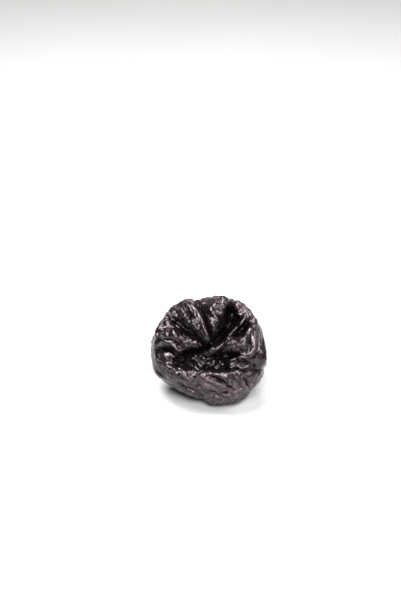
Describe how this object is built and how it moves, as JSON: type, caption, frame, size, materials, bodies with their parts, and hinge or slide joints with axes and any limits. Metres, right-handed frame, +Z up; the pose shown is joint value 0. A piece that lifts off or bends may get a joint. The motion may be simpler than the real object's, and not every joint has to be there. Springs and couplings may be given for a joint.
{
  "type": "pitted prune",
  "caption": "Plump pitted prune, wrinkled glossy dark skin, lying tilted back on its belly with its pinched mouth and face folds up and forward.",
  "frame": {"origin": "on the small flat spot of the belly that the fruit rests on, straight below the middle of the fruit", "axes": "+Z up from the surface the fruit rests on, -Y towards the side that the pinched face leans to, +X to the right as seen from there"},
  "size_m": [0.0347, 0.0321, 0.0281],
  "materials": {
    "prune_skin": "moist dried plum skin, near black with a purple brown cast, glossy on the folds"
  },
  "bodies": {
    "root": {"prune": "prune_skin"}
  },
  "joints": []
}
